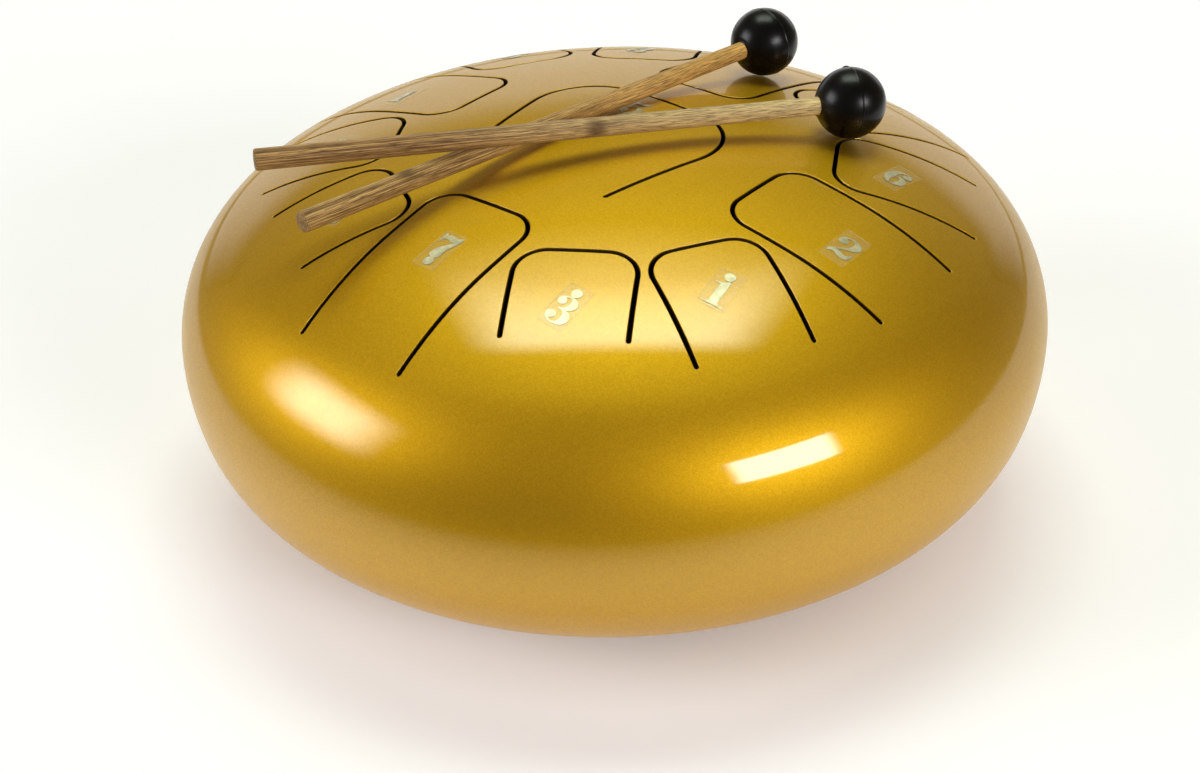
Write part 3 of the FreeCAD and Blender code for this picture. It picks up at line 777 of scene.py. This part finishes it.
def subdivided(points, ways, step):
    """Outline with points added so that no side is longer than the step."""
    fine_points = []
    fine_ways = []
    for index, (point, way) in enumerate(zip(points, ways)):
        following = points[(index + 1) % len(points)]
        next_way = ways[(index + 1) % len(points)]
        for share in steps_between(point, following, step):
            fine_points.append(point + (following - point) * share)
            blended = way + (next_way - way) * share
            fine_ways.append(blended / np.linalg.norm(blended))
    return np.array(fine_points), np.array(fine_ways)


def foil_outlines(key):
    """Outlines about a sticker's centre of its numeral and of the dot that marks the octave."""
    octave, digit = key.split("_")
    dotted = {"low": -1, "mid": 0, "high": 1}[octave]
    extra = 2 * DOT_RADIUS + DOT_GAP
    height = NUMERAL_SIZE[1]
    base = np.array([-NUMERAL_WIDTH / 2 / NUMERAL_UNITS * NUMERAL_SIZE[0], -(height + dotted * extra) / 2])
    outlines = [base + drawn(marks) * NUMERAL_SIZE for marks in NUMERALS[digit]]
    if dotted:
        beyond = DOT_GAP + DOT_RADIUS
        spot = np.array([0.0, base[1] + (height + beyond if dotted > 0 else -beyond)])
        outlines.append(circle(spot, DOT_RADIUS, DOT_SEGMENTS)[0])
    return outlines


def sticker_frame(key):
    """Centre, turning matrix, width and length of a sticker, from the corners of its CAD node."""
    plan = node_points("label_" + key)[:, :2]
    diagonals = ((1, 1), (-1, 1), (-1, -1), (1, -1))
    quad = np.array([plan[(plan @ np.array(diagonal)).argmax()] for diagonal in diagonals])
    side = quad[0] - quad[1]
    width = np.linalg.norm(side)
    right = side / width
    turn = np.array([right, (-right[1], right[0])])
    return quad.mean(0), turn, width, np.linalg.norm(quad[1] - quad[2])


def build_sticker(key):
    """Clear film that follows the drum, with its foil numeral on top."""
    centre, turn, width, length = sticker_frame(key)
    outline, ways = subdivided(*rounded_rectangle(width, length, FILM_CORNER), FOIL_STEP)
    outline = centre + outline @ turn
    ways = ways @ turn
    rim = Edge(outline, ways, break_radius=FILM_BREAK, closed=True)
    points, triangles, _, loops = triangulate([rim.brink(UPPER)], FILM_STEP)
    film = sheet_piece(f"film_{key}", UPPER, points, triangles, [(rim, loops[0])], (FILM, FILM_EDGE, FILM),
                       lift=FILM_LIFT, gauge=FILM_GAUGE)
    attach(film, "note_" + key)
    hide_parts("label_" + key)
    frame_outline = UPPER.unroll(outline)
    marks = [UPPER.unroll(centre + mark @ turn) for mark in foil_outlines(key)]
    points, triangles, rounds, _ = triangulate([frame_outline] + marks, FOIL_STEP)
    own = np.array([len(owner) % 2 == 0 for owner in rounds])
    foil = sheet_piece(f"numeral_{key}", UPPER, points, triangles[own], [], (FOIL, FOIL, FOIL),
                       lift=FILM_LIFT + FOIL_GAUGE, gauge=FOIL_GAUGE / 2)
    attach(foil, "note_" + key)


# --- Lathed pieces -----------------------------------------------------------

def ring_faces(rings):
    """Faces between neighbouring rings of point numbers; a ring may be one point over and over."""
    faces = []
    for lower, upper in zip(rings, rings[1:]):
        for k in range(len(lower)):
            face = [lower[k - 1], lower[k], upper[k], upper[k - 1]]
            faces.append([corner for place, corner in enumerate(face) if corner != face[place - 1]])
    return faces


def lathe(name, profile, segments, materials, warp=None):
    """Turned piece about its own Z from (radius, height) pairs; the profile's ends may lie on the axis.

    warp moves each ring point: it gets radius, height and angle and gives the new radius and height."""
    points = []
    rings = []
    for radius, height in profile:
        if radius < TINY:
            rings.append([len(points)] * segments)
            points.append((0.0, 0.0, height))
            continue
        rings.append(list(range(len(points), len(points) + segments)))
        for angle in np.arange(segments) * 2 * math.pi / segments:
            out, rise = warp(radius, height, angle) if warp else (radius, height)
            points.append((out * math.cos(angle), out * math.sin(angle), rise))
    return mesh_piece(name, points, ring_faces(rings), materials)


def rounded(profile, radius, steps=4):
    """Profile with each inner corner replaced by a small arc of about that radius."""
    line = [profile[0]]
    for before, corner, after in zip(profile, profile[1:], profile[2:]):
        corner = np.array(corner)
        to_before = np.array(before) - corner
        to_after = np.array(after) - corner
        reach = min(radius, np.linalg.norm(to_before) * SIDE_SHARE, np.linalg.norm(to_after) * SIDE_SHARE)
        first = corner + to_before / np.linalg.norm(to_before) * reach
        last = corner + to_after / np.linalg.norm(to_after) * reach
        for share in np.arange(steps + 1) / steps:
            rest = 1 - share
            line.append(tuple(rest ** 2 * first + 2 * rest * share * corner + share ** 2 * last))
    return line + [profile[-1]]


def build_foot(node):
    """Moulded rubber foot: tapered, with a grip ring in its sole and a recess for the screw."""
    low, high = corners(node)
    centre = (low + high)[:2] / 2
    top = high[2]
    outline = [
        (SCREW_HOLE_RADIUS, RECESS_DEPTH), (RECESS_RADIUS, RECESS_DEPTH), (RECESS_RADIUS, 0.0),
        (GRIP_RING[0], 0.0), (GRIP_RING[1], GRIP_DEPTH), (GRIP_RING[2], GRIP_DEPTH), (GRIP_RING[3], 0.0),
        (FOOT_BASE_RADIUS, 0.0), (FOOT_TOP_RADIUS, FOOT_TAPER_HEIGHT), (FOOT_TOP_RADIUS, top),
    ]
    profile = rounded([(SCREW_HOLE_RADIUS, top)] + outline, FOOT_ROUNDING) + [(SCREW_HOLE_RADIUS, top)]

    def seated(radius, height, angle):
        """Stretch the foot above its taper up to the bowl."""
        across = centre[0] + radius * math.cos(angle)
        along = centre[1] + radius * math.sin(angle)
        seat = LOWER.height(math.hypot(across, along)) - SEAT_GAP
        share = max(0.0, (height - FOOT_TAPER_HEIGHT) / (top - FOOT_TAPER_HEIGHT))
        return radius, height + share * (seat - top)

    foot = lathe("rubber_" + node, profile, FOOT_SEGMENTS, [FOOT_RUBBER], seated)
    foot.location = (centre[0], centre[1], 0.0)
    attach(foot, "drum")
    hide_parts(node)


# --- Mallets -----------------------------------------------------------------

def handle_line(prefix):
    """Head's centre, the unit vector from it towards the butt and the way to the butt's end."""
    points = node_points(prefix + "_handle")
    low, high = corners(prefix + "_head")
    head = (low + high) / 2
    axis = np.linalg.svd(points - points.mean(0), full_matrices=False)[2][0]
    if (points.mean(0) - head) @ axis < 0:
        axis = -axis
    along = (points - head) @ axis
    tenon = points[along < along.min() + EDGE_BREAK]
    butt = points[along > along.max() - EDGE_BREAK]
    tenon_middle = (tenon.min(0) + tenon.max(0)) / 2
    butt_middle = (butt.min(0) + butt.max(0)) / 2
    way = butt_middle - tenon_middle
    reach = np.linalg.norm(way)
    way /= reach
    return tenon_middle + way * TENON_DEPTH, way, reach - TENON_DEPTH


def nub_way(prefix, head):
    """Way from a ball's centre to its vent nub, the farthest part of its CAD node."""
    offsets = node_points(prefix + "_head") - head
    reaches = np.linalg.norm(offsets, axis=1)
    return offsets[reaches > reaches.max() - NUB_HEIGHT / 10].mean(0)


def mallet_turn(way, top):
    """Rotation that takes local +Z towards the butt and local -X as near as can be to the top."""
    along = Vector(way)
    side = Vector(top).cross(along).normalized()
    return Matrix((side.cross(along), side, along)).transposed()


def build_handle(prefix, head, way, reach, seed):
    """Hand-sanded dowel: slightly out of round along its length, with a chamfered butt."""
    stations = np.arange(-TENON_DEPTH, reach - BUTT_CHAMFER, HANDLE_STEP)
    profile = [(0.0, -TENON_DEPTH)]
    for height in stations:
        share = (height + TENON_DEPTH) / (reach + TENON_DEPTH)
        profile.append((NECK_RADIUS + (BUTT_RADIUS - NECK_RADIUS) * share, height))
    profile += [(BUTT_RADIUS - BUTT_CHAMFER * inset, reach - BUTT_CHAMFER * back)
                for inset, back in CHAMFER_MARKS]
    profile += [(BUTT_RADIUS * share, reach) for share in BUTT_RINGS]

    def worn(radius, height, angle):
        """Take shallow hollows and fine grooves along the grain off the surface."""
        around = Vector((math.cos(angle), math.sin(angle), height * HOLLOW_STRETCH + seed))
        hollow = 0.5 + 0.5 * noise.noise(around * HOLLOW_SCALE)
        strand = Vector((around.x * FIBRE_SCALE, around.y * FIBRE_SCALE, height * FIBRE_STRETCH + seed))
        fibre = 0.5 + 0.5 * noise.noise(strand)
        return radius - HOLLOW_DEPTH * hollow - FIBRE_DEPTH * fibre, height

    handle = lathe(prefix + "_dowel", profile, HANDLE_SEGMENTS, [WOODS[prefix]], worn)
    handle.matrix_world = Matrix.Translation(Vector(head)) @ mallet_turn(way, (0, 0, 1)).to_4x4()
    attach(handle, prefix)
    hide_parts(prefix + "_handle")


def graded(marks):
    """Values from mark to mark, each mark with the step that is used after it, without the last."""
    spans = zip(marks, marks[1:])
    return np.concatenate([np.arange(start, end, step) for (start, step), (end, _) in spans])


def build_head(prefix, centre, way):
    """Moulded rubber ball: parting ridge across the handle's axis, vent nub, groove at the handle."""
    polars = np.radians(np.append(graded(BALL_RINGS), BALL_RINGS[-1][0]))
    half_turn = graded(BALL_MERIDIANS)
    meridians = np.radians(np.concatenate([half_turn, half_turn + 180]))
    turn_round = np.array(mallet_turn(way, nub_way(prefix, centre)))
    points = []
    rings = []
    for polar in polars:
        around = meridians[:1] if math.sin(polar) < TINY else meridians
        ring = list(range(len(points), len(points) + len(around)))
        rings.append(ring * (len(meridians) // len(ring)))
        for turn in around:
            spot = np.array([-math.cos(polar), math.sin(polar) * math.cos(turn),
                             math.sin(polar) * math.sin(turn)])
            from_axis = math.degrees(math.acos(max(-1.0, min(1.0, spot[2]))))
            ridge = SEAM_HEIGHT * math.exp(-((from_axis - 90) / SEAM_SPREAD) ** 2)
            nub = NUB_HEIGHT * max(0.0, min(1.0, (NUB_ANGLE - math.degrees(polar)) / NUB_SLOPE))
            lip = LIP_DEPTH * math.exp(-((from_axis - LIP_ANGLE) / LIP_SPREAD) ** 2)
            points.append(turn_round @ spot * (HEAD_RADIUS - SEAM_HEIGHT + max(ridge, nub) - lip))
    head = mesh_piece(prefix + "_ball", points, ring_faces(rings), [RUBBER])
    head.location = centre
    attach(head, prefix)
    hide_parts(prefix + "_head")


# --- Studio ------------------------------------------------------------------

CARD_DISTANCE = 6.0
FLOOR_REACH = 0.62
FLOOR_CENTRE = (-0.12, 0.25)
FLOOR_GLOW = 0.4
FLOOR_FADE = 0.25
# the floor's glow against the distance from the drum's axis, in drum radii
UNDER_DRUM = ((0.5, 0.0), (0.95, 1.0))
ROOM_LIGHT = (0.20, 0.16, 0.065)
BACKDROP_LIGHT = (0.95, 0.95, 0.95)

CAMERA_TARGET = (-0.00431, -0.00361, EQUATOR - 0.03386)
CAMERA_DISTANCE = 0.74497
CAMERA_AZIMUTH = -50.0
CAMERA_ELEVATION = 32.13
CAMERA_ROLL = -1.762
CAMERA_LENS = 61.9
CAMERA_SENSOR = 36.0
CAMERA_CLIP = 0.01


def direction(azimuth, elevation):
    """Unit vector from the drum, with the azimuth from +X and the elevation in degrees."""
    azimuth = math.radians(azimuth)
    elevation = math.radians(elevation)
    return Vector((math.cos(azimuth) * math.cos(elevation), math.sin(azimuth) * math.cos(elevation),
                   math.sin(elevation)))


def light_card(name, azimuth, elevation, width, height, strength, side=1.0, low=1.0, high=1.0,
               tint=(1.0, 1.0, 1.0)):
    """Luminous card that faces the drum: its width, height and soft borders are angles in degrees."""
    across = CARD_DISTANCE * math.tan(math.radians(width / 2))
    along = CARD_DISTANCE * math.tan(math.radians(height / 2))
    light = Shader(name + "_light", Base_Color=(0, 0, 0, 1), Specular_IOR_Level=0.0)
    place = light.feed(light.add("ShaderNodeSeparateXYZ"), Vector=light.place).outputs
    level = strength
    borders = (("X", -across, side), ("X", across, side), ("Y", -along, low), ("Y", along, high))
    for axis, limit, border in borders:
        solid = limit - math.copysign(CARD_DISTANCE * math.radians(border), limit)
        edge = light.feed(light.add("ShaderNodeMapRange", interpolation_type="SMOOTHSTEP"),
                          Value=place[axis], From_Min=limit, From_Max=solid)
        level = light.math("MULTIPLY", edge.outputs["Result"], level)
    light.surface.inputs["Emission Color"].default_value = (*tint, 1)
    light.link(Emission_Strength=level)
    card = flat_card(name, across, along, light.material)
    way = direction(azimuth, elevation)
    card.location = Vector((0, 0, EQUATOR)) + way * CARD_DISTANCE
    card.rotation_euler = way.to_track_quat("Z", "Y").to_euler()
    card.visible_camera = False


def flat_card(name, across, along, material):
    """Staged rectangle, with half its width and half its length given."""
    points = [(-across, -along, 0), (across, -along, 0), (across, along, 0), (-across, along, 0)]
    card = mesh_piece(name, points, [(0, 1, 2, 3)], [material])
    return card


def build_floor():
    """White table top that fades out into the pale room, clear from below and unlit under the drum."""
    paper = Shader("floor_paper", Specular_IOR_Level=0.2, Emission_Strength=FLOOR_GLOW)
    mottle = paper.noise(3.0, 3.0)
    tone = paper.ramp(mottle, (0.3, (0.77, 0.765, 0.82)), (0.7, (0.80, 0.795, 0.85)))
    middle = (-FLOOR_CENTRE[0], -FLOOR_CENTRE[1], 0.0)
    away = paper.feed(paper.add("ShaderNodeVectorMath", operation="DISTANCE"), _0=paper.place, _1=middle)
    share = paper.math("DIVIDE", away.outputs["Value"], DRUM_RADIUS)
    glow = paper.mix(paper.ramp(share, *UNDER_DRUM), (0.0, 0.0, 0.0, 1.0), tone)
    paper.link(Base_Color=tone, Emission_Color=glow)
    paper.link(Roughness=paper.ramp(mottle, (0.3, 0.75), (0.7, 0.85)))
    reach = paper.feed(paper.add("ShaderNodeVectorMath", operation="LENGTH"), _0=paper.place)
    fade = paper.feed(paper.add("ShaderNodeMapRange", interpolation_type="SMOOTHSTEP"),
                      Value=reach.outputs["Value"], From_Min=FLOOR_REACH,
                      From_Max=FLOOR_REACH * (1 - FLOOR_FADE))
    underside = paper.add("ShaderNodeNewGeometry").outputs["Backfacing"]
    paper.link(Alpha=paper.math("SUBTRACT", fade.outputs["Result"], underside))
    floor = flat_card("floor", FLOOR_REACH, FLOOR_REACH, paper.material)
    floor.location = (*FLOOR_CENTRE, cad_box[0][2])


def build_world():
    """Dim room with a pale backdrop behind the drum."""
    world = bpy.data.worlds.new("studio")
    world.use_nodes = True
    nodes = world.node_tree.nodes
    path = nodes.new("ShaderNodeLightPath")
    tone = nodes.new("ShaderNodeMix")
    tone.data_type = "RGBA"
    tone.inputs[6].default_value = (*ROOM_LIGHT, 1.0)
    tone.inputs[7].default_value = (*BACKDROP_LIGHT, 1.0)
    world.node_tree.links.new(path.outputs["Is Camera Ray"], tone.inputs[0])
    world.node_tree.links.new(tone.outputs[2], nodes["Background"].inputs["Color"])
    bpy.context.scene.world = world


def build_camera():
    """Camera in front and to the right of the player, looking down on the drum."""
    camera = bpy.data.objects.new("camera", bpy.data.cameras.new("camera"))
    bpy.context.scene.collection.objects.link(camera)
    camera.data.sensor_width = CAMERA_SENSOR
    camera.data.lens = CAMERA_LENS
    target = Vector(CAMERA_TARGET)
    back = direction(CAMERA_AZIMUTH, CAMERA_ELEVATION)
    right = Vector((0, 0, 1)).cross(back).normalized()
    turn = Matrix((right, back.cross(right), back)).transposed()
    roll = Matrix.Rotation(math.radians(CAMERA_ROLL), 3, "Z")
    camera.matrix_world = Matrix.Translation(target + back * CAMERA_DISTANCE) @ (turn @ roll).to_4x4()
    camera.data.clip_start = CAMERA_CLIP
    bpy.context.scene.camera = camera
    bpy.context.scene.view_settings.view_transform = "Standard"


# --- Assembly ----------------------------------------------------------------

build_upper()
build_lower()
for key in KEYS:
    build_sticker(key)
for foot in FEET:
    build_foot(foot)
for node in ("foot_screws", "foot_nuts"):
    frame["nodes"][node].data.materials.clear()
    frame["nodes"][node].data.materials.append(ZINC)
for seed, prefix in enumerate(WOODS):
    head, way, reach = handle_line(prefix)
    build_handle(prefix, head, way, reach, seed * SEED_STEP)
    build_head(prefix, head, way)

build_floor()
build_world()
light_card("right_softbox", azimuth=-9.0, elevation=19.7, width=29.0, height=16.5, strength=15.0,
           side=4.5, low=1.5, high=1.5)
light_card("left_softbox", azimuth=-131.0, elevation=22.0, width=44.0, height=36.0, strength=8.0,
           side=18.0, low=15.0, high=15.0)
light_card("overhead_softbox", azimuth=127.0, elevation=65.0, width=46.0, height=40.0, strength=7.6,
           side=12.0, low=36.0, high=7.0, tint=(0.89, 1.0, 0.82))
light_card("backdrop", azimuth=127.0, elevation=8.0, width=100.0, height=30.0, strength=1.2,
           side=34.0, high=12.0)
build_camera()
